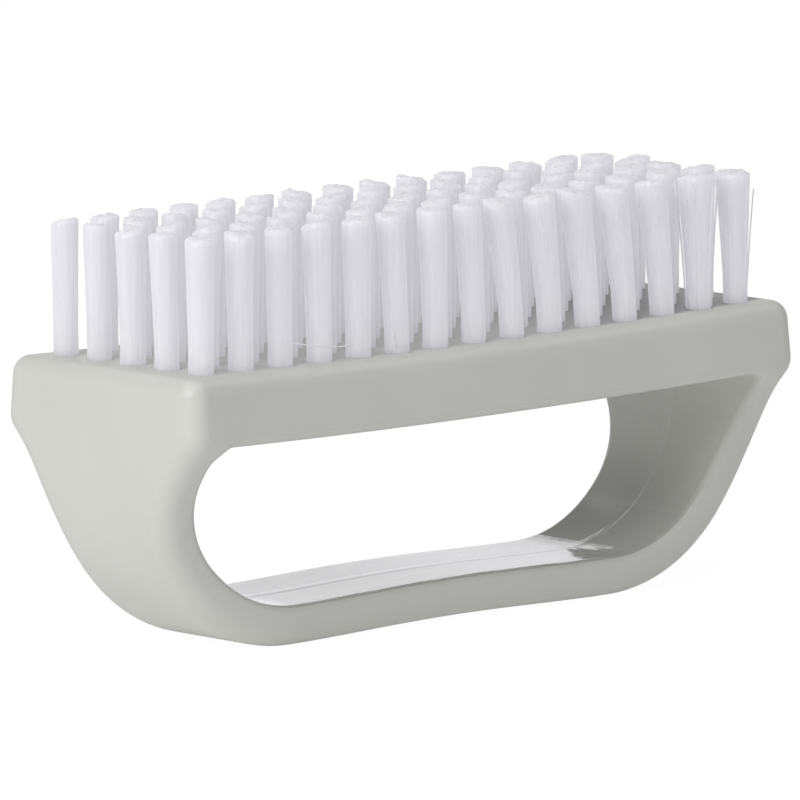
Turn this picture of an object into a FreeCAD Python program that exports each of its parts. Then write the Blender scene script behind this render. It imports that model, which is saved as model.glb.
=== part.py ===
"""Nail brush with a finger loop: one moulded body, bristle tufts and the anchors that hold them.

Millimetres. X runs along the brush, Y across it, Z up towards the bristle tips.
The origin is at the middle of the grip bar's flat underside.
"""
import FreeCAD
import Part
import Sketcher
import math
import os

# Driving dimensions, one row of the sheet each
DIMENSIONS = (
    ("tuft_pitch", 6.0, "centre to centre of the tufts, both ways"),
    ("tuft_columns", 15, "tufts along the brush"),
    ("tuft_rows", 5, "tufts across the brush"),
    ("tuft_sides", 8, "flats round a tuft and its hole"),
    ("tuft_free_length", 15.6, "tuft above the deck"),
    ("tuft_clearance", 0.04, "between a tuft and the wall of its hole"),
    ("hole_diameter", 3.0, "across the flats of a tuft's hole"),
    ("hole_depth", 6.0, "from the deck to the bottom of a hole"),
    ("hole_floor", 2.2, "plastic between the holes and the finger opening"),
    ("anchor_thickness", 0.4, "flat wire"),
    ("anchor_height", 1.8, "width of the flat wire, upright in the hole"),
    ("anchor_bite", 0.2, "reach of an anchor's end into the wall of the hole"),
    ("anchor_lift", 1.0, "folded filaments under an anchor"),
    ("end_margin", 5.85, "outer tuft column to the end of the block"),
    ("side_margin", 4.65, "outer tuft row to the side of the deck"),
    ("knee_flare", 0.5, "how far each side leans out between the deck and the knee"),
    ("knee_rise", 0.15, "knee of the side above the roof of the opening"),
    ("opening_height", 21.0, "finger room under the block"),
    ("handle_wall", 4.9, "thickness of the grip bar"),
    ("column_wall", 5.2, "thickness of the end columns"),
    ("grip_depth", 19.0, "grip bar, front to back"),
    ("waist_rise", 4.6, "where the side's curve starts, above the grip bar's inner face"),
    ("roof_corner", 2.0, "radius of the upper corners of the opening"),
    ("knee_round", 3.2, "rounding of the knee"),
    ("rim_round", 2.2, "rounding of the deck's edge"),
    ("overrun", 4.0, "reach of a cut past the body"),
)

# The large lower corners follow the opening's height, and the rounded edges of the loop its wall
INNER_CORNER_SHARE = 0.85
OUTER_CORNER_SHARE = 1.075
EDGE_ROUND_SHARE = 0.57
OPENING_BEVEL_SHARE = 0.24

# Two positions closer than this share of the pitch are the same
SAME_SHARE = 0.0002

doc = FreeCAD.newDocument("NailBrush")
sheet = doc.addObject("Spreadsheet::Sheet", "Dims")
for row, (alias, number, note) in enumerate(DIMENSIONS, start=1):
    sheet.set("A%d" % row, note)
    sheet.set("B%d" % row, str(number))
    sheet.setAlias("B%d" % row, alias)
doc.recompute()


def size(alias):
    """A driving dimension, read from the sheet."""
    return float(sheet.get(alias))


# Levels and half sizes that follow from the sheet, as expressions
COLUMN_SPAN = "(Dims.tuft_columns - 1) * Dims.tuft_pitch"
ROW_SPAN = "(Dims.tuft_rows - 1) * Dims.tuft_pitch"
BODY_HALF = "((Dims.tuft_columns - 1) * Dims.tuft_pitch / 2 + Dims.end_margin)"
DECK_HALF_DEPTH = "((Dims.tuft_rows - 1) * Dims.tuft_pitch / 2 + Dims.side_margin)"
KNEE_HALF_DEPTH = "(%s + Dims.knee_flare)" % DECK_HALF_DEPTH
ROOF = "(Dims.handle_wall + Dims.opening_height)"
HOLE_BOTTOM = "(%s + Dims.hole_floor)" % ROOF
DECK = "(%s + Dims.hole_depth)" % HOLE_BOTTOM
KNEE = "(%s + Dims.knee_rise)" % ROOF
WAIST = "(Dims.handle_wall + Dims.waist_rise)"
INNER_CORNER = "(Dims.opening_height * %s)" % INNER_CORNER_SHARE
OUTER_CORNER = "(Dims.opening_height * %s)" % OUTER_CORNER_SHARE
OPENING_HALF = "(%s - Dims.column_wall)" % BODY_HALF
FLAT_TO_CORNER = "cos(180 deg / Dims.tuft_sides)"

# The same as numbers, for where a sketch's lines are first drawn and for picking edges
column_half = (size("tuft_columns") - 1) * size("tuft_pitch") / 2
row_half = (size("tuft_rows") - 1) * size("tuft_pitch") / 2
body_half = column_half + size("end_margin")
deck_half_depth = row_half + size("side_margin")
knee_half_depth = deck_half_depth + size("knee_flare")
grip_half_depth = size("grip_depth") / 2
roof = size("handle_wall") + size("opening_height")
deck = roof + size("hole_floor") + size("hole_depth")
knee = roof + size("knee_rise")
waist = size("handle_wall") + size("waist_rise")
inner_corner = size("opening_height") * INNER_CORNER_SHARE
outer_corner = size("opening_height") * OUTER_CORNER_SHARE
opening_half = body_half - size("column_wall")
same = size("tuft_pitch") * SAME_SHARE


def origin_feature(body, role):
    """One of a body's own origin planes or axes."""
    return [item for item in body.Origin.OriginFeatures if item.Role == role][0]


def new_sketch(body, name, role, level=None):
    """A sketch on an origin plane of its body, lifted to a level."""
    sketch = body.newObject("Sketcher::SketchObject", name)
    sketch.AttachmentSupport = (origin_feature(body, role), "")
    sketch.MapMode = "FlatFace"
    if level:
        sketch.setExpression("AttachmentOffset.Base.z", level)
    return sketch


def constrain(sketch, expression, drawn, kind, *references):
    """Adds a dimension to a sketch, as drawn, and binds it to the sheet."""
    number = sketch.addConstraint(Sketcher.Constraint(kind, *references, drawn))
    sketch.setExpression("Constraints[%d]" % number, expression)


def line(start, end):
    """A straight line of a sketch."""
    return Part.LineSegment(FreeCAD.Vector(*start, 0), FreeCAD.Vector(*end, 0))


def arc(centre, radius, first, last):
    """An arc of a sketch, from a first angle anticlockwise to a last one."""
    circle = Part.Circle(FreeCAD.Vector(*centre, 0), FreeCAD.Vector(0, 0, 1), radius)
    return Part.ArcOfCircle(circle, first, last)


def draw_polygon(sketch, radius_expression, radius, left, back):
    """A regular polygon with one flat along X, set to the left of the origin and back from it."""
    sides = int(size("tuft_sides"))
    centre = FreeCAD.Vector(-left, -back, 0)
    guide = sketch.addGeometry(Part.Circle(centre, FreeCAD.Vector(0, 0, 1), radius), True)
    corners = []
    for number in range(sides):
        angle = math.pi * (2 * number - 1) / sides - math.pi / 2
        corners.append((-left + radius * math.cos(angle), -back + radius * math.sin(angle)))
    flats = [sketch.addGeometry(line(corners[n], corners[(n + 1) % sides])) for n in range(sides)]
    for number in range(sides):
        following = flats[(number + 1) % sides]
        sketch.addConstraint(Sketcher.Constraint("Coincident", flats[number], 2, following, 1))
        sketch.addConstraint(Sketcher.Constraint("PointOnObject", flats[number], 1, guide))
    for number in range(1, sides):
        sketch.addConstraint(Sketcher.Constraint("Equal", flats[0], flats[number]))
    sketch.addConstraint(Sketcher.Constraint("Horizontal", flats[0]))
    constrain(sketch, radius_expression, radius, "Radius", guide)
    return guide


def edge_names(shape, wanted):
    """Names of the edges of a shape that pass a test."""
    return ["Edge%d" % number for number, edge in enumerate(shape.Edges, start=1) if wanted(shape, edge)]


def side_normals(shape, edge):
    """Normals of the two faces that meet at an edge, at its middle, and that middle."""
    middle = edge.valueAt((edge.FirstParameter + edge.LastParameter) / 2)
    normals = []
    for face in shape.ancestorsOfType(edge, Part.Face):
        u, v = face.Surface.parameter(middle)
        normals.append(face.normalAt(u, v))
    return normals, middle


# Body: end section with concave sides, drawn on the YZ plane and run along X
moulding = doc.addObject("PartDesign::Body", "brush_body")
moulding.Label = "brush_body"
section = new_sketch(moulding, "end_section", "YZ_Plane")
reach = knee_half_depth - grip_half_depth
rise = knee - waist
flank_radius = (reach ** 2 + rise ** 2) / (2 * reach)
sweep = math.asin(rise / flank_radius)
section.addGeometry([
    line((-deck_half_depth, deck), (deck_half_depth, deck)),
    line((deck_half_depth, deck), (knee_half_depth, knee)),
    arc((grip_half_depth + flank_radius, waist), flank_radius, math.pi - sweep, math.pi),
    line((grip_half_depth, waist), (grip_half_depth, 0)),
    line((grip_half_depth, 0), (-grip_half_depth, 0)),
    line((-grip_half_depth, 0), (-grip_half_depth, waist)),
    arc((-grip_half_depth - flank_radius, waist), flank_radius, 0, sweep),
    line((-knee_half_depth, knee), (-deck_half_depth, deck)),
])
section.addConstraint([
    Sketcher.Constraint("Coincident", 0, 2, 1, 1),
    Sketcher.Constraint("Coincident", 1, 2, 2, 1),
    Sketcher.Constraint("Tangent", 2, 2, 3, 1),
    Sketcher.Constraint("Coincident", 3, 2, 4, 1),
    Sketcher.Constraint("Coincident", 4, 2, 5, 1),
    Sketcher.Constraint("Tangent", 5, 2, 6, 1),
    Sketcher.Constraint("Coincident", 6, 2, 7, 1),
    Sketcher.Constraint("Coincident", 7, 2, 0, 1),
    Sketcher.Constraint("Vertical", 3),
    Sketcher.Constraint("PointOnObject", 4, 1, -1),
    Sketcher.Constraint("Symmetric", 0, 1, 0, 2, -2),
    Sketcher.Constraint("Symmetric", 1, 2, 7, 1, -2),
    Sketcher.Constraint("Symmetric", 3, 1, 5, 2, -2),
    Sketcher.Constraint("Symmetric", 4, 1, 4, 2, -2),
])
constrain(section, "2 * " + DECK_HALF_DEPTH, 2 * deck_half_depth, "DistanceX", 0, 1, 0, 2)
constrain(section, DECK, deck, "DistanceY", -1, 1, 0, 1)
constrain(section, KNEE_HALF_DEPTH, knee_half_depth, "DistanceX", -1, 1, 1, 2)
constrain(section, KNEE, knee, "DistanceY", -1, 1, 1, 2)
constrain(section, "Dims.grip_depth", size("grip_depth"), "DistanceX", 4, 2, 4, 1)
constrain(section, WAIST, waist, "DistanceY", -1, 1, 3, 1)
block = moulding.newObject("PartDesign::Pad", "block")
block.Profile = section
block.SideType = "Symmetric"
block.setExpression("Length", "2 * (%s + Dims.overrun)" % BODY_HALF)
doc.recompute()

# Everything outside the front outline, with its large lower corners, is cut away
outline = new_sketch(moulding, "front_outline", "XZ_Plane")
top = deck + size("overrun")
wide = body_half + 2 * size("overrun")
corner_start = body_half - outer_corner
outline.addGeometry([
    line((-body_half, top), (body_half, top)),
    line((body_half, top), (body_half, outer_corner)),
    arc((corner_start, outer_corner), outer_corner, -math.pi / 2, 0),
    line((corner_start, 0), (-corner_start, 0)),
    arc((-corner_start, outer_corner), outer_corner, math.pi, math.pi * 3 / 2),
    line((-body_half, outer_corner), (-body_half, top)),
    line((-wide, top + size("overrun")), (wide, top + size("overrun"))),
    line((wide, top + size("overrun")), (wide, -size("overrun"))),
    line((wide, -size("overrun")), (-wide, -size("overrun"))),
    line((-wide, -size("overrun")), (-wide, top + size("overrun"))),
])
outline.addConstraint([
    Sketcher.Constraint("Coincident", 0, 2, 1, 1),
    Sketcher.Constraint("Tangent", 1, 2, 2, 2),
    Sketcher.Constraint("Tangent", 2, 1, 3, 1),
    Sketcher.Constraint("Tangent", 3, 2, 4, 2),
    Sketcher.Constraint("Tangent", 4, 1, 5, 1),
    Sketcher.Constraint("Coincident", 5, 2, 0, 1),
    Sketcher.Constraint("Vertical", 1),
    Sketcher.Constraint("Vertical", 5),
    Sketcher.Constraint("Equal", 2, 4),
    Sketcher.Constraint("Symmetric", 0, 1, 0, 2, -2),
    Sketcher.Constraint("PointOnObject", 3, 1, -1),
    Sketcher.Constraint("PointOnObject", 3, 2, -1),
    Sketcher.Constraint("Coincident", 6, 2, 7, 1),
    Sketcher.Constraint("Coincident", 7, 2, 8, 1),
    Sketcher.Constraint("Coincident", 8, 2, 9, 1),
    Sketcher.Constraint("Coincident", 9, 2, 6, 1),
    Sketcher.Constraint("Vertical", 7),
    Sketcher.Constraint("Horizontal", 8),
    Sketcher.Constraint("Vertical", 9),
    Sketcher.Constraint("Symmetric", 6, 1, 6, 2, -2),
])
constrain(outline, OUTER_CORNER, outer_corner, "Radius", 2)
constrain(outline, "2 * " + BODY_HALF, 2 * body_half, "DistanceX", 0, 1, 0, 2)
constrain(outline, DECK + " + Dims.overrun", top, "DistanceY", -1, 1, 0, 1)
constrain(outline, "2 * (%s + 2 * Dims.overrun)" % BODY_HALF, 2 * wide, "DistanceX", 6, 1, 6, 2)
constrain(outline, DECK + " + 2 * Dims.overrun", top + size("overrun"), "DistanceY", -1, 1, 6, 1)
constrain(outline, "Dims.overrun", size("overrun"), "DistanceY", 8, 1, -1, 1)
trim = moulding.newObject("PartDesign::Pocket", "trim_to_outline")
trim.Profile = outline
trim.SideType = "Symmetric"
trim.setExpression("Length", "2 * (%s + Dims.overrun)" % KNEE_HALF_DEPTH)
doc.recompute()


# Rounded edges of the outside: the knee, the loop's outer edges, then the edge of the deck
def on_knee(shape, edge):
    """True for the two edges of the knee, which run along X."""
    box = edge.BoundBox
    return box.YLength < same and box.ZLength < same and abs(box.ZMin - knee) < same


def on_contour(shape, edge):
    """True where an end or the underside meets a side of the body."""
    normals, middle = side_normals(shape, edge)
    if middle.z > deck - same:
        return False
    for first, second in (normals, normals[::-1]):
        if abs(first.y) < SAME_SHARE and abs(second.x) < SAME_SHARE and abs(second.y) > SAME_SHARE:
            return True
    return False


def on_rim(shape, edge):
    """True round the deck."""
    return abs(edge.BoundBox.ZMin - deck) < same and abs(edge.BoundBox.ZMax - deck) < same


solid = trim
for name, wanted, radius in (
    ("knee_rounding", on_knee, "Dims.knee_round"),
    ("edge_rounding", on_contour, "Dims.handle_wall * %s" % EDGE_ROUND_SHARE),
    ("rim_rounding", on_rim, "Dims.rim_round"),
):
    rounding = moulding.newObject("PartDesign::Fillet", name)
    rounding.Base = (solid, edge_names(solid.Shape, wanted))
    rounding.setExpression("Radius", radius)
    doc.recompute()
    solid = rounding

# Finger opening, right through from front to back
mouth = new_sketch(moulding, "opening_outline", "XZ_Plane")
floor = size("handle_wall")
small = size("roof_corner")
mouth.addGeometry([
    line((small - opening_half, roof), (opening_half - small, roof)),
    arc((opening_half - small, roof - small), small, 0, math.pi / 2),
    line((opening_half, roof - small), (opening_half, floor + inner_corner)),
    arc((opening_half - inner_corner, floor + inner_corner), inner_corner, -math.pi / 2, 0),
    line((opening_half - inner_corner, floor), (inner_corner - opening_half, floor)),
    arc((inner_corner - opening_half, floor + inner_corner), inner_corner, math.pi, math.pi * 3 / 2),
    line((-opening_half, floor + inner_corner), (-opening_half, roof - small)),
    arc((small - opening_half, roof - small), small, math.pi / 2, math.pi),
])
mouth.addConstraint([
    Sketcher.Constraint("Tangent", 0, 2, 1, 2),
    Sketcher.Constraint("Tangent", 1, 1, 2, 1),
    Sketcher.Constraint("Tangent", 2, 2, 3, 2),
    Sketcher.Constraint("Tangent", 3, 1, 4, 1),
    Sketcher.Constraint("Tangent", 4, 2, 5, 2),
    Sketcher.Constraint("Tangent", 5, 1, 6, 1),
    Sketcher.Constraint("Tangent", 6, 2, 7, 2),
    Sketcher.Constraint("Tangent", 7, 1, 0, 1),
    Sketcher.Constraint("Vertical", 2),
    Sketcher.Constraint("Horizontal", 4),
    Sketcher.Constraint("Vertical", 6),
    Sketcher.Constraint("Equal", 1, 7),
    Sketcher.Constraint("Equal", 3, 5),
    Sketcher.Constraint("Symmetric", 0, 1, 0, 2, -2),
])
constrain(mouth, "Dims.roof_corner", small, "Radius", 1)
constrain(mouth, INNER_CORNER, inner_corner, "Radius", 3)
roof_length = 2 * (opening_half - small)
constrain(mouth, "2 * (%s - Dims.roof_corner)" % OPENING_HALF, roof_length, "DistanceX", 0, 1, 0, 2)
constrain(mouth, ROOF, roof, "DistanceY", -1, 1, 0, 1)
constrain(mouth, "Dims.handle_wall", floor, "DistanceY", -1, 1, 4, 1)
opening = moulding.newObject("PartDesign::Pocket", "finger_opening")
opening.Profile = mouth
opening.SideType = "Symmetric"
opening.setExpression("Length", "2 * (%s + Dims.overrun)" % KNEE_HALF_DEPTH)
doc.recompute()


def on_mouth(shape, edge):
    """True round the front and the back of the finger opening."""
    normals, middle = side_normals(shape, edge)
    inside = abs(middle.x) < opening_half + same and floor - same < middle.z < roof + same
    square = [abs(normal.y) < SAME_SHARE for normal in normals]
    return inside and square[0] != square[1]


lips = moulding.newObject("PartDesign::Chamfer", "opening_bevel")
lips.Base = (opening, edge_names(opening.Shape, on_mouth))
lips.setExpression("Size", "Dims.handle_wall * %s" % OPENING_BEVEL_SHARE)
doc.recompute()

# Tuft holes: one at the front left corner of the field, repeated both ways
hole_half = size("hole_diameter") / 2
hole_corner = hole_half / math.cos(math.pi / size("tuft_sides"))
HOLE_RADIUS = "Dims.hole_diameter / 2 / " + FLAT_TO_CORNER
hole_outline = new_sketch(moulding, "hole_outline", "XY_Plane", DECK)
guide = draw_polygon(hole_outline, HOLE_RADIUS, hole_corner, column_half, row_half)
constrain(hole_outline, COLUMN_SPAN + " / 2", column_half, "DistanceX", guide, 3, -1, 1)
constrain(hole_outline, ROW_SPAN + " / 2", row_half, "DistanceY", guide, 3, -1, 1)
hole = moulding.newObject("PartDesign::Pocket", "tuft_hole")
hole.Profile = hole_outline
hole.setExpression("Length", "Dims.hole_depth")
doc.recompute()
holes = moulding.newObject("PartDesign::LinearPattern", "tuft_holes")
holes.Originals = [hole]
holes.Direction = (origin_feature(moulding, "X_Axis"), [""])
holes.Direction2 = (origin_feature(moulding, "Y_Axis"), [""])
holes.setExpression("Length", COLUMN_SPAN)
holes.setExpression("Length2", ROW_SPAN)
holes.setExpression("Occurrences", "Dims.tuft_columns")
holes.setExpression("Occurrences2", "Dims.tuft_rows")
moulding.Tip = holes
doc.recompute()
pieces = [moulding]

# Tufts and anchors, one node of each for every column of the field. An anchor is driven through its
# tuft's fold and into the wall on both sides of the hole.
TUFT_RADIUS = "(Dims.hole_diameter / 2 - Dims.tuft_clearance) / " + FLAT_TO_CORNER
tuft_corner = (hole_half - size("tuft_clearance")) / math.cos(math.pi / size("tuft_sides"))
ANCHOR_LENGTH = "(Dims.hole_diameter + 2 * Dims.anchor_bite)"


def repeat_across(body, name, original):
    """Repeats the first tuft or anchor of a row across the brush."""
    pattern = body.newObject("PartDesign::LinearPattern", name)
    pattern.Originals = [original]
    pattern.Direction = (origin_feature(body, "Y_Axis"), [""])
    pattern.setExpression("Length", ROW_SPAN)
    pattern.setExpression("Occurrences", "Dims.tuft_rows")
    body.Tip = pattern


def new_row(name, column):
    """A body for one row across the brush, placed along X."""
    body = doc.addObject("PartDesign::Body", name)
    body.Label = name
    body.AllowCompound = True
    body.setExpression("Placement.Base.x", "(%d - (Dims.tuft_columns - 1) / 2) * Dims.tuft_pitch" % column)
    pieces.append(body)
    return body


for column in range(int(size("tuft_columns"))):
    tufts = new_row("tuft_row_%02d" % (column + 1), column)
    ring = new_sketch(tufts, "tuft_outline_%02d" % (column + 1), "XY_Plane", HOLE_BOTTOM)
    guide = draw_polygon(ring, TUFT_RADIUS, tuft_corner, 0, row_half)
    ring.addConstraint(Sketcher.Constraint("PointOnObject", guide, 3, -2))
    constrain(ring, ROW_SPAN + " / 2", row_half, "DistanceY", guide, 3, -1, 1)
    tuft = tufts.newObject("PartDesign::Pad", "tuft_%02d" % (column + 1))
    tuft.Profile = ring
    tuft.setExpression("Length", "Dims.hole_depth + Dims.tuft_free_length")
    repeat_across(tufts, "tufts_%02d" % (column + 1), tuft)

    anchors = new_row("anchor_row_%02d" % (column + 1), column)
    anchor = anchors.newObject("PartDesign::AdditiveBox", "anchor_%02d" % (column + 1))
    anchor.setExpression("Length", "Dims.anchor_thickness")
    anchor.setExpression("Width", ANCHOR_LENGTH)
    anchor.setExpression("Height", "Dims.anchor_height")
    anchor.setExpression("Placement.Base.x", "-Dims.anchor_thickness / 2")
    anchor.setExpression("Placement.Base.y", "-%s / 2 - %s / 2" % (ROW_SPAN, ANCHOR_LENGTH))
    anchor.setExpression("Placement.Base.z", HOLE_BOTTOM + " + Dims.anchor_lift")
    repeat_across(anchors, "anchors_%02d" % (column + 1), anchor)
doc.recompute()

# Every object and every piece is sound before anything is written
for item in doc.Objects:
    if "Invalid" in item.State or "Error" in item.State:
        raise RuntimeError("%s did not build: %s" % (item.Label, item.State))
counts = {"brush_body": 1}
for piece in pieces:
    wanted = counts.get(piece.Label, int(size("tuft_rows")))
    if piece.Shape.isNull() or not piece.Shape.isValid() or len(piece.Shape.Solids) != wanted:
        raise RuntimeError("%s has a bad shape" % piece.Label)
hole_count = size("tuft_columns") * size("tuft_rows")
hole_area = size("tuft_sides") * hole_half ** 2 * math.tan(math.pi / size("tuft_sides"))
drilled = lips.Shape.Volume - moulding.Shape.Volume
if abs(drilled / (hole_count * hole_area * size("hole_depth")) - 1) > SAME_SHARE:
    raise RuntimeError("the holes did not cut")

os.makedirs("parts", exist_ok=True)
for piece in pieces:
    piece.Shape.exportStep("parts/%s.step" % piece.Label)
    print(piece.Label, len(piece.Shape.Solids), round(piece.Shape.Volume, 2))
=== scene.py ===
import math

import bpy
import numpy as np
from mathutils import Matrix, Vector


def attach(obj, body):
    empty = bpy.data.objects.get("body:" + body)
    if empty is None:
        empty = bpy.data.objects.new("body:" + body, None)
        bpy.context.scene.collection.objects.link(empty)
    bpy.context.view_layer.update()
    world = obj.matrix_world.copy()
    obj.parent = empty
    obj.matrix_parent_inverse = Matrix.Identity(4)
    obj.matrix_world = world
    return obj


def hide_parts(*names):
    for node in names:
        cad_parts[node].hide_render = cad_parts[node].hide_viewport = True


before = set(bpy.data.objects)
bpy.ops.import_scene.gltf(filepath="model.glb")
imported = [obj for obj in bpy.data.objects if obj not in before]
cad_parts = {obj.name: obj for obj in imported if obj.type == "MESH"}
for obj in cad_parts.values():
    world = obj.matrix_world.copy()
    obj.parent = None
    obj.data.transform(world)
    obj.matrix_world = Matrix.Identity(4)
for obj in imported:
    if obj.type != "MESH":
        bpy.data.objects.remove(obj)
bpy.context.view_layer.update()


# Moulded body.
# One piece of light grey plastic: the block that holds the bristles, two end columns and the grip bar.
# It leaves the mould with a satin skin and sinks a little along the middle of its length as it cools.
BODY_HALF_LENGTH = 0.04785
OUTER_TUFT_EDGE = 0.0440
DECK_LEVEL = 0.0341
KNEE_LEVEL = 0.02605
ROOF_LEVEL = 0.0259
GRIP_FACE_LEVEL = 0.0049
OPENING_HALF_LENGTH = 0.04265
INNER_CORNER_RADIUS = 0.01785
ROOF_CORNER_RADIUS = 0.0020
LIP_ROUND = 0.001176
LIP_CUTS = 4
BLOCK_SAG = 0.0007
GRIP_BOW = 0.00045
END_LEAN = 0.00045
SLICES_PER_HALF = 24
WELD_DISTANCE = 1e-6
SMOOTH_ANGLE = math.radians(60)


def copy_of_node(node, name):
    """A welded copy of a CAD node's mesh, as a new piece."""
    bpy.ops.object.select_all(action="DESELECT")
    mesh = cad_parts[node].data.copy()
    piece = bpy.data.objects.new(name, mesh)
    bpy.context.scene.collection.objects.link(piece)
    bpy.context.view_layer.objects.active = piece
    piece.select_set(True)
    mesh.materials.clear()
    bpy.ops.object.mode_set(mode="EDIT")
    bpy.ops.mesh.select_all(action="SELECT")
    bpy.ops.mesh.customdata_custom_splitnormals_clear()
    bpy.ops.mesh.remove_doubles(threshold=WELD_DISTANCE)
    bpy.ops.mesh.select_all(action="DESELECT")
    bpy.ops.object.mode_set(mode="OBJECT")
    return piece


def off_opening(x, z):
    """How far a point of the front view lies outside the finger opening's outline."""
    if z < GRIP_FACE_LEVEL + INNER_CORNER_RADIUS:
        corner = INNER_CORNER_RADIUS
        beyond = GRIP_FACE_LEVEL + corner - z
    else:
        corner = ROOF_CORNER_RADIUS
        beyond = z - ROOF_LEVEL + corner
    across = abs(x) - OPENING_HALF_LENGTH + corner
    return math.hypot(max(across, 0), max(beyond, 0)) + min(max(across, beyond), 0) - corner


moulding = copy_of_node("brush_body", "moulded_body")
mesh = moulding.data

# The lips of the opening are bevels in the CAD model. They are cut finer and swelled to a round.
least_slope, most_slope = 0.25, 0.97
lip_start_share, lip_end_share = -0.05, 1.05
for face in mesh.polygons:
    out_share = off_opening(face.center.x, face.center.z) / LIP_ROUND
    on_lip = lip_start_share < out_share < lip_end_share
    face.select = on_lip and least_slope < abs(face.normal.y) < most_slope
bpy.ops.object.mode_set(mode="EDIT")
bpy.ops.mesh.select_mode(type="FACE")
bpy.ops.mesh.subdivide(number_cuts=LIP_CUTS)
bpy.ops.object.mode_set(mode="OBJECT")
lips = {corner for face in mesh.polygons if face.select for corner in face.vertices}
swell = {}
for corner in lips:
    vertex = mesh.vertices[corner]
    out_share = min(max(off_opening(vertex.co.x, vertex.co.z) / LIP_ROUND, 0), 1)
    from_middle = (out_share - 0.5) * math.sqrt(2)
    swell[corner] = vertex.normal * LIP_ROUND * (math.sqrt(1 - from_middle ** 2) - math.sqrt(0.5))
for corner, move in swell.items():
    mesh.vertices[corner].co += move

# Slices along the length let the long faces bend: the block sags, the grip bar bows, the two ends lean in.
bpy.ops.object.mode_set(mode="EDIT")
for cut in range(1 - SLICES_PER_HALF, SLICES_PER_HALF):
    bpy.ops.mesh.select_all(action="SELECT")
    bpy.ops.mesh.bisect(plane_co=(cut * BODY_HALF_LENGTH / SLICES_PER_HALF, 0, 0), plane_no=(1, 0, 0))
bpy.ops.object.mode_set(mode="OBJECT")
straight_half = OPENING_HALF_LENGTH - INNER_CORNER_RADIUS
off_lip = [off_opening(vertex.co.x, vertex.co.z) for vertex in mesh.vertices]
for vertex in mesh.vertices:
    x, z = vertex.co.x, vertex.co.z
    up_share = min(max((z - GRIP_FACE_LEVEL) / (ROOF_LEVEL - GRIP_FACE_LEVEL), 0), 1)
    vertex.co.z -= BLOCK_SAG * (1 - min(abs(x) / BODY_HALF_LENGTH, 1) ** 2) * up_share
    if abs(x) < straight_half and z < GRIP_FACE_LEVEL + LIP_ROUND:
        vertex.co.z += GRIP_BOW * (1 - (x / straight_half) ** 2) ** 2
    if abs(x) > OUTER_TUFT_EDGE and z > KNEE_LEVEL:
        outer = (abs(x) - OUTER_TUFT_EDGE) / (BODY_HALF_LENGTH - OUTER_TUFT_EDGE)
        vertex.co.x -= math.copysign(END_LEAN * outer * (z - KNEE_LEVEL) / (DECK_LEVEL - KNEE_LEVEL), x)
bpy.ops.object.shade_smooth_by_angle(angle=SMOOTH_ANGLE)
weighting = moulding.modifiers.new("even_shading", "WEIGHTED_NORMAL")
weighting.keep_sharp = True
bpy.ops.object.modifier_apply(modifier=weighting.name)


def new_material(name):
    """A new material, its nodes, its links and its shader."""
    material = bpy.data.materials.new(name)
    material.use_nodes = True
    tree = material.node_tree
    return material, tree.nodes, tree.links, tree.nodes["Principled BSDF"]


def noise(nodes, links, scale, detail, stretch=(1, 1, 1)):
    """A noise on the piece's own coordinates, in periods per metre."""
    place = nodes.new("ShaderNodeTexCoord")
    mapping = nodes.new("ShaderNodeMapping")
    mapping.inputs["Scale"].default_value = stretch
    texture = nodes.new("ShaderNodeTexNoise")
    texture.inputs["Scale"].default_value = scale
    texture.inputs["Detail"].default_value = detail
    links.new(place.outputs["Object"], mapping.inputs["Vector"])
    links.new(mapping.outputs["Vector"], texture.inputs["Vector"])
    return texture.outputs["Fac"]


def ramp(nodes, links, value, dark, light, low=0.3, high=0.7):
    """A colour that goes from dark to light as a value rises from low to high."""
    stops = nodes.new("ShaderNodeValToRGB")
    stops.color_ramp.elements[0].position = low
    stops.color_ramp.elements[0].color = (*dark, 1)
    stops.color_ramp.elements[1].position = high
    stops.color_ramp.elements[1].color = (*light, 1)
    links.new(value, stops.inputs["Fac"])
    return stops.outputs["Color"]


def spread(nodes, links, value, low, high):
    """A noise value moved into a range."""
    step = nodes.new("ShaderNodeMapRange")
    step.inputs["To Min"].default_value = low
    step.inputs["To Max"].default_value = high
    links.new(value, step.inputs["Value"])
    return step.outputs["Result"]


def change_over(nodes, links, value, span, first, last, shape="SMOOTHSTEP"):
    """A value that goes from first to last as another value crosses a span."""
    step = nodes.new("ShaderNodeMapRange")
    step.interpolation_type = shape
    step.inputs["From Min"].default_value = span[0]
    step.inputs["From Max"].default_value = span[1]
    step.inputs["To Min"].default_value = first
    step.inputs["To Max"].default_value = last
    links.new(value, step.inputs["Value"])
    return step.outputs["Result"]


def combined(nodes, links, operation, first, second):
    """Two values added, multiplied or compared."""
    step = nodes.new("ShaderNodeMath")
    step.operation = operation
    links.new(first, step.inputs[0])
    links.new(second, step.inputs[1])
    return step.outputs["Value"]


def blended(nodes, links, share, first, second):
    """A mix of two colours, each of them fixed or from another node."""
    mix = nodes.new("ShaderNodeMixRGB")
    for socket, colour in (("Color1", first), ("Color2", second)):
        if isinstance(colour, tuple):
            mix.inputs[socket].default_value = (*colour, 1)
        else:
            links.new(colour, mix.inputs[socket])
    links.new(share, mix.inputs["Fac"])
    return mix.outputs["Color"]


def bump(nodes, links, height, strength, distance, under=None):
    """A bump from a height, over another bump."""
    step = nodes.new("ShaderNodeBump")
    step.inputs["Strength"].default_value = strength
    step.inputs["Distance"].default_value = distance
    links.new(height, step.inputs["Height"])
    if under:
        links.new(under, step.inputs["Normal"])
    return step.outputs["Normal"]


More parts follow.
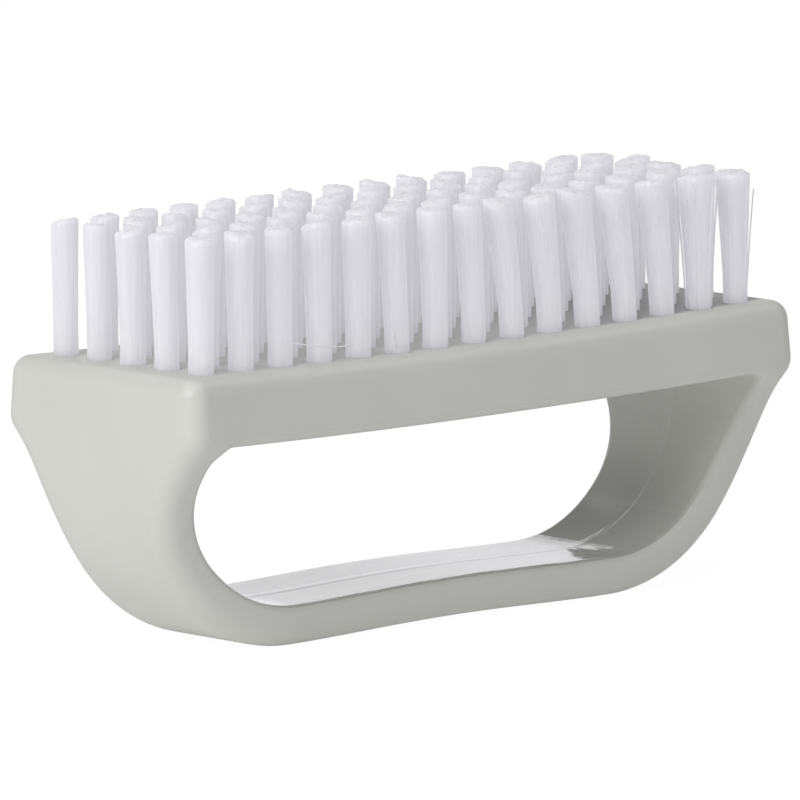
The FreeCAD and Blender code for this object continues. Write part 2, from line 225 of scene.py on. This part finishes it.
def own_axes(nodes, links):
    """The piece's own coordinates, and how far a point is from the middle of the depth."""
    place = nodes.new("ShaderNodeTexCoord")
    axes = nodes.new("ShaderNodeSeparateXYZ")
    off_middle = nodes.new("ShaderNodeMath")
    off_middle.operation = "ABSOLUTE"
    links.new(place.outputs["Object"], axes.inputs["Vector"])
    links.new(axes.outputs["Y"], off_middle.inputs[0])
    return axes.outputs, off_middle.outputs["Value"]


# Satin skin, with painted shade of the tufts in specks on the deck among the most worn tufts. Each pair of
# levels or distances says where the painted shade is gone and where it is full.
SATIN_GREYS = ((0.560, 0.562, 0.522), (0.590, 0.592, 0.552))
PLASTIC_IOR = 1.49
TUFT_SHADE_GREY = (0.24, 0.232, 0.222)
TUFT_SHADE_TOP = (DECK_LEVEL - BLOCK_SAG - 0.0004, DECK_LEVEL - BLOCK_SAG - 0.0001)
TUFT_SHADE_DEPTH = (0.0136, 0.0122)
TUFT_SHADE_START = (0.008, 0.032)
TUFT_SHADE_END = (0.0462, 0.0452)
satin, nodes, links, shader = new_material("satin_grey_plastic")
axes, off_middle = own_axes(nodes, links)
tone = ramp(nodes, links, noise(nodes, links, scale=60, detail=3), *SATIN_GREYS)
painted_tuft_shade = spread(nodes, links, noise(nodes, links, scale=900, detail=3), low=0.6, high=1.2)
for value, span in ((axes["Z"], TUFT_SHADE_TOP), (off_middle, TUFT_SHADE_DEPTH),
                    (axes["X"], TUFT_SHADE_START), (axes["X"], TUFT_SHADE_END)):
    inside = change_over(nodes, links, value, span, 0, 1, "LINEAR")
    painted_tuft_shade = combined(nodes, links, "MULTIPLY", inside, painted_tuft_shade)
# Painted shade: the deck among the most worn tufts is darkened in specks where the tufts shade it.
links.new(blended(nodes, links, painted_tuft_shade, tone, TUFT_SHADE_GREY), shader.inputs["Base Color"])
sheen = spread(nodes, links, noise(nodes, links, scale=300, detail=4), low=0.36, high=0.46)
links.new(sheen, shader.inputs["Roughness"])
grain = noise(nodes, links, scale=4000, detail=2)
waves = noise(nodes, links, scale=130, detail=2)
fine_skin = bump(nodes, links, grain, strength=0.06, distance=0.0002)
skin = bump(nodes, links, waves, strength=0.05, distance=0.001, under=fine_skin)
links.new(skin, shader.inputs["Normal"])
shader.inputs["IOR"].default_value = PLASTIC_IOR

# Inner face of the loop: the sliding core of the mould leaves the grip bar polished, with fine lengthwise
# streaks and the core's parting line, a hair of pale flash along the middle of its depth that is partly a
# painted highlight of the ridge. The bar is painted darker than the columns: painted shade low in the
# opening.
# Up the columns the polish fades into the satin skin, over these levels.
SHADED_BAR_GREY = (0.46, 0.461, 0.431)
COLUMN_GREYS = ((0.585, 0.587, 0.546), (0.615, 0.617, 0.576))
FLASH_AND_HIGHLIGHT_GREY = (0.74, 0.74, 0.72)
POLISH_FADE = (0.0062, 0.0105)
BAR_SHADE_FADE = (0.007, 0.016)
FLASH_AND_HIGHLIGHT_FADE = (0.007, 0.014)
FLASH_AND_HIGHLIGHT_HALF_WIDTH = (0.00004, 0.00024)
RIDGE_HALF_WIDTH = (0.0002, 0.0011)
RIDGE_HEIGHT = 0.0001
STREAK_HEIGHT = 0.00005
polished, nodes, links, shader = new_material("polished_inner_face")
axes, off_middle = own_axes(nodes, links)
column_tone = ramp(nodes, links, noise(nodes, links, scale=60, detail=3), *COLUMN_GREYS)
# Painted shade: the bar's grey is darker and gives way to the columns' tone higher up.
tone = blended(nodes, links, change_over(nodes, links, axes["Z"], BAR_SHADE_FADE, 0, 1), SHADED_BAR_GREY, column_tone)
# Partly painted highlight: the pale flash line also stands in for light caught along the parting ridge.
pale_line = change_over(nodes, links, off_middle, FLASH_AND_HIGHLIGHT_HALF_WIDTH, 1, 0)
flash_and_highlight_left = change_over(nodes, links, axes["Z"], FLASH_AND_HIGHLIGHT_FADE, 1, 0.15)
flash_and_highlight = combined(nodes, links, "MULTIPLY", pale_line, flash_and_highlight_left)
links.new(blended(nodes, links, flash_and_highlight, tone, FLASH_AND_HIGHLIGHT_GREY), shader.inputs["Base Color"])
links.new(change_over(nodes, links, axes["Z"], POLISH_FADE, 0.85, 0.02), shader.inputs["Coat Weight"])
shader.inputs["Coat Roughness"].default_value = 0.05
fine_haze = spread(nodes, links, noise(nodes, links, scale=220, detail=3), low=0.05, high=0.09)
matting = change_over(nodes, links, axes["Z"], POLISH_FADE, 0, 0.34)
links.new(combined(nodes, links, "ADD", fine_haze, matting), shader.inputs["Roughness"])
long_marks = noise(nodes, links, scale=420, detail=2, stretch=(0.12, 1, 0.12))
streaks = bump(nodes, links, long_marks, strength=1.0, distance=STREAK_HEIGHT)
low_ridge = change_over(nodes, links, off_middle, RIDGE_HALF_WIDTH, 1, 0)
parting = bump(nodes, links, low_ridge, strength=1.0, distance=RIDGE_HEIGHT, under=streaks)
links.new(parting, shader.inputs["Normal"])
shader.inputs["IOR"].default_value = PLASTIC_IOR

mesh.materials.append(satin)
mesh.materials.append(polished)
polish_reach = 0.75 * LIP_ROUND
steepest_polished = 0.62
for face in mesh.polygons:
    farthest = max(off_lip[corner] for corner in face.vertices)
    face.material_index = int(farthest < polish_reach and abs(face.normal.y) < steepest_polished)
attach(moulding, "root")
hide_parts("brush_body")


# Bristle tufts.
# Bundles of white nylon filament, folded in two and driven into the holes of the deck, then cut level.
# A packed bundle shows its outer filaments as flutes. Worn tufts, towards the right, lean and fan out.
TUFT_PITCH = 0.006
TUFT_COLUMNS = 15
TUFT_ROWS = 5
TUFT_RADIUS = 0.00142
TUFT_LENGTH = 0.0156
TUFT_ROOT_DEPTH = 0.002
OVAL_SHARE = 0.025
FOOT_SHARE = 1.04
FLUTES = 27
FLUTE_SPACING_SHARES = (0.7, 1.3)
FLUTE_DEPTH = 0.000026
FLUTE_DEPTH_SHARES = (0.4, 1.6)
NEW_FLUTE_SHARE = 0.7
WORN_FLUTE_SHARE = 0.6
HEAD_ROUND = 0.00028
HEAD_ROUND_POWER = 6
HEAD_STEP = (0.00005, 0.00035)
HEAD_STEP_SHARPNESS = 3
HEAD_UNEVENNESS = 0.00006
FLARE_SHARE = 0.15
WORN_FLARE_SHARE = 0.28
FLARE_SCATTER_SHARE = 0.08
FLARE_POWER = 1.25
LEAN_POWER = 1.35
LEAN_SCATTER = 0.00012
WORN_LEAN_SCATTER = 0.0001
FRONT_LEAN_MM = (0, 0.2, 0.1, 0, -0.2, -0.7, -0.3, -0.7, -1.8, -1.8, -1.9, -2.0, -1.5, 0.15, -0.45)
ROW_LEAN_SHARES = (1.0, 0.4, 0.1, 0, 0)

# Loose filaments: their thickness, and for those round a fanned tuft the foot, tip and bend as shares of it.
FILAMENT_RADIUS = 0.000080
FILAMENT_SIDES = 6
FILAMENT_CUT_SHARES = (0.2, 0.4, 0.6, 0.8)
STRAY_FOOT_SHARE = 1.09
STRAY_TIP_SHARE = 1.11
STRAY_BEND_SHARE = 0.38
STRAY_ROOT_DEPTH = 0.0001
STRAY_SHORTFALL = (0.0002, 0.0012)

# The two front tufts that fan out most, by column: flare, number of loose filaments and how far those splay.
FANNED_FRONT = {13: (0.66, 12, 0.14), 14: (0.52, 6, 0.10)}

# Three filaments that came away, by column: start, middle and end from the foot of the front tuft.
CAME_AWAY = {2: ((0.0003, -0.0011, 0.0024), (0.0050, -0.0019, 0.0015), (0.0098, -0.0012, 0.0011)),
             5: ((-0.0008, -0.0010, -0.0004), (-0.0020, -0.0016, 0.0022), (-0.0024, -0.0017, 0.0045)),
             14: ((0.0010, -0.0008, -0.0005), (0.0013, -0.0011, 0.0065), (0.0018, -0.0014, 0.0134))}

bpy.ops.object.select_all(action="DESELECT")
bpy.ops.mesh.primitive_cylinder_add(vertices=FILAMENT_SIDES, radius=1, depth=1, location=(0, 0, 0.5))
filament = bpy.context.object
bpy.ops.object.transform_apply(location=True)
bpy.ops.object.mode_set(mode="EDIT")
for height in FILAMENT_CUT_SHARES:
    bpy.ops.mesh.select_all(action="SELECT")
    bpy.ops.mesh.bisect(plane_co=(0, 0, height), plane_no=(0, 0, 1))
bpy.ops.object.mode_set(mode="OBJECT")
long_ring = np.array([v.co for v in filament.data.vertices])
long_walls = [tuple(p.vertices) for p in filament.data.polygons]
bpy.data.objects.remove(filament)


def drawn_nylon(name, tones, glow):
    """Nylon with fine streaks along the filament, a soft sheen and a painted glow for light passed on
    inside.
    """
    material, nodes, links, shader = new_material(name)
    streaks = noise(nodes, links, scale=2600, detail=1, stretch=(1, 1, 0.03))
    links.new(ramp(nodes, links, streaks, *tones), shader.inputs["Base Color"])
    sheen = spread(nodes, links, noise(nodes, links, scale=900, detail=2), low=0.36, high=0.5)
    links.new(sheen, shader.inputs["Roughness"])
    shader.inputs["IOR"].default_value = 1.53
    shader.inputs["Emission Color"].default_value = (0.95, 0.945, 1.0, 1)
    shader.inputs["Emission Strength"].default_value = glow
    return material, shader


BUNDLE_WHITES = ((0.405, 0.403, 0.421), (0.44, 0.437, 0.456))
# The bundles' glow is painted light, standing in for light scattered on through the packed nylon.
nylon, shader = drawn_nylon("white_nylon", BUNDLE_WHITES, glow=0.26)
shader.inputs["Subsurface Weight"].default_value = 1.0
shader.inputs["Subsurface Radius"].default_value = (1.0, 1.0, 1.0)
shader.inputs["Subsurface Scale"].default_value = 0.010
shader.inputs["Specular IOR Level"].default_value = 0.35

# Single filaments standing loose beside a bundle: the same nylon, too thin to scatter light within.
STRAND_WHITES = ((0.42, 0.418, 0.437), (0.48, 0.477, 0.497))
# The loose strands glow too: painted light.
strand, shader = drawn_nylon("loose_nylon_strand", STRAND_WHITES, glow=0.27)

rng = np.random.default_rng(5)
level_shares = np.array([0.0, 0.115, 0.3, 0.5, 0.7, 0.86, 0.97, 1.0])
crown_shares = (0.88, 0.66, 0.36)


def packed_bundle(x, y, lean, flare, depth):
    """Vertices and faces of one tuft: a fluted bundle with an uneven cut head."""
    fold = rng.uniform(0, 2 * math.pi)
    step = rng.uniform(*HEAD_STEP)
    across = np.cumsum(rng.uniform(*FLUTE_SPACING_SHARES, FLUTES))
    across = np.concatenate([[0], across]) * 2 * math.pi / across[-1] + rng.uniform(0, 2 * math.pi)
    part = np.array([0, 0.25, 0.5, 0.75])
    angle = (across[:-1, None] + np.diff(across)[:, None] * part).ravel()
    groove = rng.uniform(*FLUTE_DEPTH_SHARES, FLUTES)[:, None] * depth * np.array([1, 0.25, 0, 0.25])
    radius = TUFT_RADIUS * (1 + OVAL_SHARE * np.cos(2 * (angle - fold))) - groove.ravel()
    count = len(angle)
    slope = step * np.tanh(HEAD_STEP_SHARPNESS * np.cos(angle - fold))
    uneven = np.repeat(rng.normal(0, HEAD_UNEVENNESS, FLUTES), len(part))
    head = TUFT_LENGTH + slope - HEAD_ROUND + uneven
    height = level_shares[:, None] * (head + TUFT_ROOT_DEPTH) - TUFT_ROOT_DEPTH
    rise = np.maximum(height, 0) / TUFT_LENGTH
    wide = radius * (1 + flare * rise ** FLARE_POWER)
    wide[:2] *= FOOT_SHARE
    for inner in crown_shares:
        uneven = np.repeat(rng.normal(0, HEAD_UNEVENNESS, FLUTES), len(part))
        drop = HEAD_ROUND * inner ** HEAD_ROUND_POWER
        height = np.vstack([height, TUFT_LENGTH + slope * inner - drop + uneven])
        rise = np.vstack([rise, np.ones(count)])
        wide = np.vstack([wide, wide[len(level_shares) - 1] * inner])
    bundle = np.stack([x + wide * np.cos(angle) + lean[0] * rise ** LEAN_POWER,
                       y + wide * np.sin(angle) + lean[1] * rise ** LEAN_POWER, DECK_LEVEL + height], axis=2)
    root = [x, y, DECK_LEVEL - TUFT_ROOT_DEPTH]
    crown = [x + lean[0], y + lean[1], DECK_LEVEL + TUFT_LENGTH]
    points = np.concatenate([bundle.reshape(-1, 3), [root, crown]])
    faces = []
    for low in range(0, (len(height) - 1) * count, count):
        for corner in range(count):
            following = (corner + 1) % count
            faces.append((low + corner, low + following, low + count + following, low + count + corner))
    last = (len(height) - 1) * count
    for corner in range(count):
        following = (corner + 1) % count
        faces.append((following, corner, len(points) - 2))
        faces.append((last + corner, last + following, len(points) - 1))
    return points, faces


def loose_filament(start, middle, end):
    """Vertices and faces of one filament along a bend through three points, in metres."""
    start, middle, end = (np.array(p) for p in (start, middle, end))
    t = long_ring[:, 2][:, None]
    path = (1 - t) ** 2 * start + 2 * t * (1 - t) * (2 * middle - (start + end) / 2) + t ** 2 * end
    along = (end - start) / np.linalg.norm(end - start)
    across = np.cross(along, [0.3, 0.9, 0.31])
    across /= np.linalg.norm(across)
    other = np.cross(along, across)
    ring = long_ring[:, 0:1] * across + long_ring[:, 1:2] * other
    return path + ring * FILAMENT_RADIUS, long_walls


front = -(TUFT_ROWS - 1) / 2 * TUFT_PITCH
for column in range(TUFT_COLUMNS):
    x = (column - (TUFT_COLUMNS - 1) / 2) * TUFT_PITCH
    worn = column / (TUFT_COLUMNS - 1)
    bundles, strands = [], []
    for row in range(TUFT_ROWS):
        y = front + row * TUFT_PITCH
        lean = [rng.normal(0, LEAN_SCATTER + WORN_LEAN_SCATTER * worn), rng.normal(0, LEAN_SCATTER)]
        lean[0] += FRONT_LEAN_MM[column] * 0.001 * ROW_LEAN_SHARES[row]
        flare = FLARE_SHARE + WORN_FLARE_SHARE * worn ** 2 + rng.uniform(0, FLARE_SCATTER_SHARE)
        strays, splay = 0, 0
        if row == 0 and column in FANNED_FRONT:
            flare, strays, splay = FANNED_FRONT[column]
        depth = FLUTE_DEPTH * (NEW_FLUTE_SHARE + WORN_FLUTE_SHARE * worn)
        bundles.append(packed_bundle(x, y, lean, flare, depth))
        for stray in range(strays):
            turn = rng.uniform(0, 2 * math.pi)
            out = np.array([math.cos(turn), math.sin(turn)])
            foot = np.array([x, y]) + out * TUFT_RADIUS * STRAY_FOOT_SHARE
            reach = TUFT_RADIUS * (STRAY_TIP_SHARE + flare + rng.uniform(0, splay))
            tip = np.array([x, y]) + lean + out * reach
            bend = foot * (1 - STRAY_BEND_SHARE) + tip * STRAY_BEND_SHARE
            length = TUFT_LENGTH - rng.uniform(*STRAY_SHORTFALL)
            strands.append(loose_filament((*foot, DECK_LEVEL - STRAY_ROOT_DEPTH),
                                          (*bend, DECK_LEVEL + length / 2), (*tip, DECK_LEVEL + length)))
    if column in CAME_AWAY:
        bend = [(x + right, front + back, DECK_LEVEL + up) for right, back, up in CAME_AWAY[column]]
        strands.append(loose_filament(*bend))
    points, faces, start = [], [], 0
    for vertices, walls in bundles + strands:
        points.append(vertices)
        faces.extend(tuple(start + corner for corner in wall) for wall in walls)
        start += len(vertices)
    mesh = bpy.data.meshes.new("bristle_row_%02d" % (column + 1))
    mesh.from_pydata(np.concatenate(points).tolist(), [], faces)
    mesh.materials.append(nylon)
    mesh.materials.append(strand)
    bundled = sum(len(vertices) for vertices, walls in bundles)
    for face in mesh.polygons:
        face.use_smooth = len(face.vertices) == 4
        face.material_index = int(min(face.vertices) >= bundled)
    bristles = bpy.data.objects.new(mesh.name, mesh)
    bpy.context.scene.collection.objects.link(bristles)
    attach(bristles, "root")
    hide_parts("tuft_row_%02d" % (column + 1))


# Anchors.
# Short flat pieces of wire, driven across the fold of each tuft. They sit deep in the holes, out of sight,
# and keep the bare drawn metal of the wire.
WIRE_GREYS = ((0.42, 0.42, 0.43), (0.60, 0.60, 0.60))
DRAWN_ALONG = (1, 0.05, 1)
wire, nodes, links, shader = new_material("drawn_flat_wire")
tone = noise(nodes, links, scale=2500, detail=2, stretch=DRAWN_ALONG)
links.new(ramp(nodes, links, tone, *WIRE_GREYS), shader.inputs["Base Color"])
drawn_marks = noise(nodes, links, scale=3000, detail=2, stretch=DRAWN_ALONG)
links.new(spread(nodes, links, drawn_marks, low=0.25, high=0.4), shader.inputs["Roughness"])
shader.inputs["Metallic"].default_value = 1.0
for node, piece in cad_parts.items():
    if node.startswith("anchor_row"):
        piece.data.materials.clear()
        piece.data.materials.append(wire)


# Table, light and view.
# A plain white table that looks as white as the room, under a broad soft window light from the left, a soft
# ceiling and a weak fill, seen from the front left corner, a little above the deck, through a long lens.
TABLE_SIDE = 6
TABLE_GLOW = 0.20
SEEN_TABLE_GLOW = 1.045
SEEN_GLOW_SHARE = 0.9
bpy.ops.object.select_all(action="DESELECT")
bpy.ops.mesh.primitive_plane_add(size=TABLE_SIDE)
table = bpy.context.object
table.name = "white_table"
white, nodes, links, shader = new_material("white_table_top")
shader.inputs["Base Color"].default_value = (0.86, 0.86, 0.86, 1)
shader.inputs["Roughness"].default_value = 0.9
shader.inputs["Emission Color"].default_value = (1, 1, 1, 1)
shader.inputs["Emission Strength"].default_value = TABLE_GLOW
path = nodes.new("ShaderNodeLightPath")
glow = nodes.new("ShaderNodeEmission")
glow.inputs["Strength"].default_value = SEEN_TABLE_GLOW
blend = nodes.new("ShaderNodeMixShader")
seen = nodes.new("ShaderNodeMath")
seen.operation = "MULTIPLY"
seen.inputs[1].default_value = SEEN_GLOW_SHARE
links.new(path.outputs["Is Camera Ray"], seen.inputs[0])
links.new(seen.outputs["Value"], blend.inputs["Fac"])
links.new(shader.outputs["BSDF"], blend.inputs[1])
links.new(glow.outputs["Emission"], blend.inputs[2])
links.new(blend.outputs["Shader"], nodes["Material Output"].inputs["Surface"])
table.data.materials.append(white)

# The room as it is seen and mirrored: white walls low down, grey above them, and a bright ceiling.
WALL_TOP = 0.352
GREY_START = 0.372
GREY_END = 0.69
CEILING_START = 0.74
ROOM_WHITE = (0.975, 0.975, 1, 1)
ROOM_GREY = (0.30, 0.30, 0.30, 1)
CEILING_WHITE = (2.4, 2.4, 2.4, 1)
world = bpy.data.worlds.new("white_room")
world.use_nodes = True
bpy.context.scene.world = world
nodes, links = world.node_tree.nodes, world.node_tree.links
path = nodes.new("ShaderNodeLightPath")
ambient = nodes["Background"]
ambient.inputs["Color"].default_value = (0.93, 0.91, 0.985, 1)
ambient.inputs["Strength"].default_value = 0.27
backdrop = nodes.new("ShaderNodeBackground")
backdrop.inputs["Strength"].default_value = 1.0
compass = nodes.new("ShaderNodeTexCoord")
heading = nodes.new("ShaderNodeSeparateXYZ")
links.new(compass.outputs["Generated"], heading.inputs["Vector"])
room = nodes.new("ShaderNodeValToRGB")
room.color_ramp.elements[0].position = WALL_TOP
room.color_ramp.elements[0].color = ROOM_WHITE
room.color_ramp.elements[1].position = GREY_START
room.color_ramp.elements[1].color = ROOM_GREY
room.color_ramp.elements.new(GREY_END).color = ROOM_GREY
room.color_ramp.elements.new(CEILING_START).color = CEILING_WHITE
links.new(heading.outputs["Z"], room.inputs["Fac"])
links.new(room.outputs["Color"], backdrop.inputs["Color"])
mirrored = combined(nodes, links, "MAXIMUM", path.outputs["Is Camera Ray"], path.outputs["Is Glossy Ray"])
blend = nodes.new("ShaderNodeMixShader")
links.new(mirrored, blend.inputs["Fac"])
links.new(ambient.outputs["Background"], blend.inputs[1])
links.new(backdrop.outputs["Background"], blend.inputs[2])
links.new(blend.outputs["Shader"], nodes["World Output"].inputs["Surface"])

BRUSH_MIDDLE = Vector((0, 0, 0.025))


def soft_light(name, position, width, height, power):
    """A rectangular soft light aimed at the middle of the brush."""
    lamp = bpy.data.lights.new(name, "AREA")
    lamp.shape = "RECTANGLE"
    lamp.size = width
    lamp.size_y = height
    lamp.energy = power
    light = bpy.data.objects.new(name, lamp)
    bpy.context.scene.collection.objects.link(light)
    aim = (BRUSH_MIDDLE - Vector(position)).to_track_quat("-Z", "Y")
    light.matrix_world = Matrix.Translation(position) @ aim.to_matrix().to_4x4()


soft_light("window_left", (-0.95, -0.25, 0.6), width=0.7, height=0.6, power=8.6)
soft_light("ceiling", (0, 0, 1.6), width=1.2, height=1.2, power=3.2)
soft_light("front_fill", (0.5, -1.0, 0.9), width=0.8, height=0.5, power=1.1)

VIEW_AZIMUTH = math.radians(-41.592)
VIEW_ELEVATION = math.radians(7.857)
VIEW_ROLL = math.radians(-0.754)
VIEW_DISTANCE = 1.35433
FOCAL_PIXELS = 11517.4
AIM = Vector((0, 0, DECK_LEVEL))
AIM_PIXEL = (405.454, 326.407)
IMAGE_SIDE = 800
SENSOR_WIDTH = 36
back = Vector((math.sin(VIEW_AZIMUTH) * math.cos(VIEW_ELEVATION),
               -math.cos(VIEW_AZIMUTH) * math.cos(VIEW_ELEVATION), math.sin(VIEW_ELEVATION)))
right = Vector((math.cos(VIEW_AZIMUTH), math.sin(VIEW_AZIMUTH), 0))
up = back.cross(right)
rolled_right = math.cos(VIEW_ROLL) * right + math.sin(VIEW_ROLL) * up
rolled_up = math.cos(VIEW_ROLL) * up - math.sin(VIEW_ROLL) * right
forward = (-back * FOCAL_PIXELS + rolled_right * (IMAGE_SIDE / 2 - AIM_PIXEL[0])
           - rolled_up * (IMAGE_SIDE / 2 - AIM_PIXEL[1])).normalized()
side = (rolled_right - forward * rolled_right.dot(forward)).normalized()
top = side.cross(forward)
lens = bpy.data.cameras.new("long_lens")
lens.sensor_width = SENSOR_WIDTH
lens.lens = FOCAL_PIXELS / IMAGE_SIDE * SENSOR_WIDTH
lens.clip_start = 0.05
lens.clip_end = 20
view = bpy.data.objects.new("front_left_view", lens)
bpy.context.scene.collection.objects.link(view)
turn = Matrix((side, top, -forward)).transposed().to_4x4()
view.matrix_world = Matrix.Translation(AIM + back * VIEW_DISTANCE) @ turn
bpy.context.scene.camera = view
bpy.context.scene.view_settings.view_transform = "Standard"
